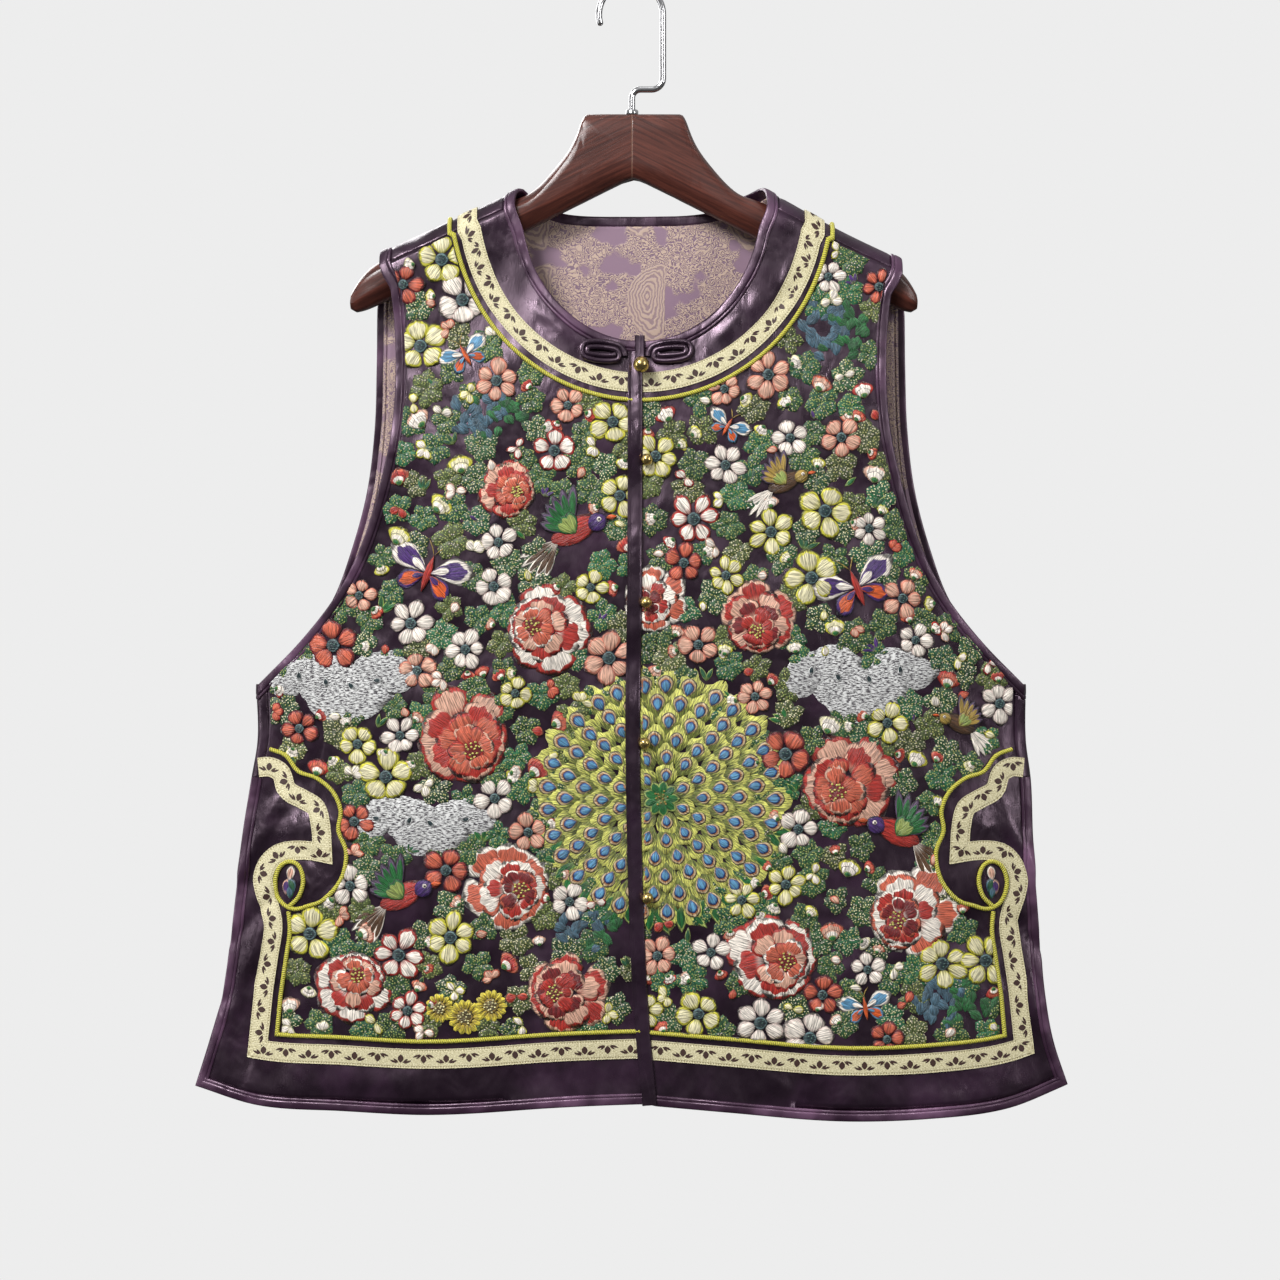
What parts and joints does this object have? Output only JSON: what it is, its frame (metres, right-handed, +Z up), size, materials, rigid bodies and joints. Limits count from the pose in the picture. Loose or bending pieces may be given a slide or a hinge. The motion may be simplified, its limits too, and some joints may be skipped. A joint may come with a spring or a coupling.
{
  "type": "embroidered waistcoat on a hanger",
  "caption": "Sleeveless round-neck satin waistcoat with embroidered fronts, ribbon and cord borders and side vents, hanging on a contoured wooden hanger.",
  "frame": {"origin": "inner top of the hook's bend, where a rail carries it", "axes": "+Z up, -Y towards the viewer of the embroidered front, +X to that viewer's right"},
  "size_m": [0.6111, 0.0703, 0.7995],
  "materials": {
    "satin": "dark aubergine silk satin",
    "binding_satin": "mauve satin bias strip",
    "lining_cloth": "mauve and gold paisley jacquard",
    "ribbon_cloth": "cream jacquard ribbon",
    "cord_silk": "yellow-green couched cord",
    "brass": "polished",
    "dark_wood": "dark mahogany lacquer",
    "chrome": "bright"
  },
  "bodies": {
    "root": {"armhole_binding_left": "binding_satin", "armhole_binding_right": "binding_satin", "back": "satin", "back_lining": "lining_cloth", "centre_strip": "binding_satin", "frog_left": "binding_satin", "frog_right": "binding_satin", "front_button_1": "brass", "front_button_2": "brass", "front_button_3": "brass", "front_button_4": "brass", "front_left": "satin", "front_right": "satin", "hanger": "dark_wood", "hem_binding_back": "binding_satin", "hem_binding_left": "binding_satin", "hem_binding_right": "binding_satin", "hem_cord_back": "cord_silk", "hem_cord_left": "cord_silk", "hem_cord_right": "cord_silk", "hem_ribbon_back": "ribbon_cloth", "hem_ribbon_left": "ribbon_cloth", "hem_ribbon_right": "ribbon_cloth", "hook": "chrome", "neck_binding": "binding_satin", "neck_button": "brass", "neck_cord": "cord_silk", "neck_ribbon": "ribbon_cloth", "scroll_cord_back_left": "cord_silk", "scroll_cord_back_right": "cord_silk", "scroll_cord_left": "cord_silk", "scroll_cord_right": "cord_silk", "side_turning_left": "satin", "side_turning_right": "satin"}
  },
  "joints": []
}
